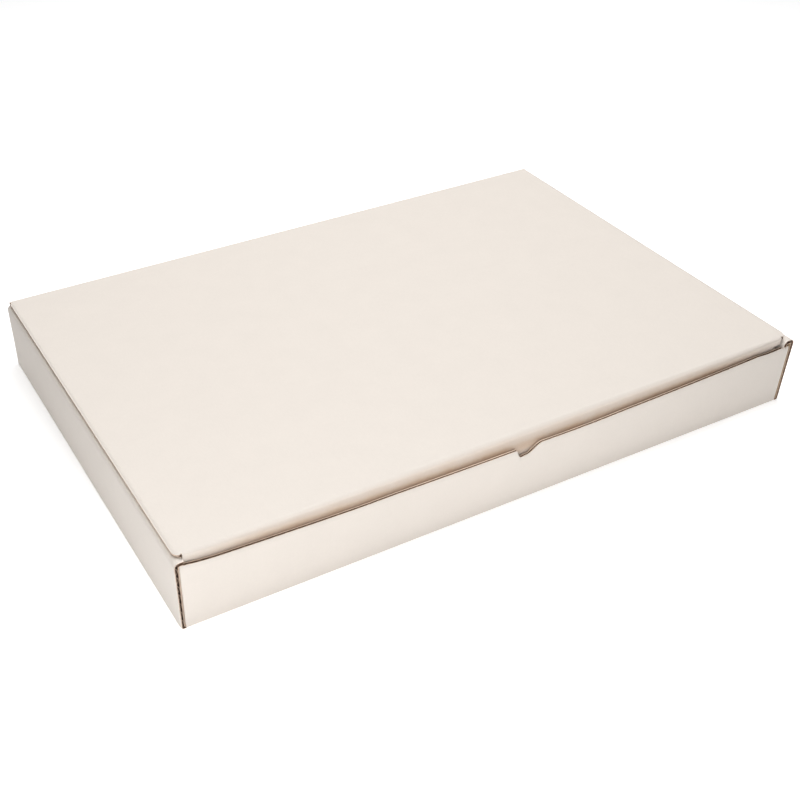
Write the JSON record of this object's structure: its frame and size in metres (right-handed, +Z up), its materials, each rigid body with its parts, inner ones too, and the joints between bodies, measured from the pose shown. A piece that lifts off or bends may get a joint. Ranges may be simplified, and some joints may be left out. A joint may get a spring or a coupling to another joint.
{
  "type": "cardboard sorting box",
  "caption": "Shallow white corrugated box with rolled side walls and a hinged lid that tucks in behind its front wall.",
  "frame": {"origin": "underside of the base, in the middle of the tray's 440 by 306 mm outline", "axes": "+X along the front from left to right, +Y from the front wall to the hinge, +Z up"},
  "size_m": [0.4437, 0.3115, 0.051],
  "materials": {
    "tray_board": "white-lined corrugated board, brown raw edges and inside",
    "lid_board": "white-lined corrugated board, brown raw edges and inside"
  },
  "bodies": {
    "tray": {"tray": "tray_board"},
    "lid": {"lid": "lid_board"}
  },
  "joints": [
    {"name": "lid_hinge", "type": "hinge", "parent": "tray", "child": "lid", "pos_m": [0, 0.1516, 0.0496], "axis": [-1, 0, 0], "range_deg": [0, 180]}
  ]
}
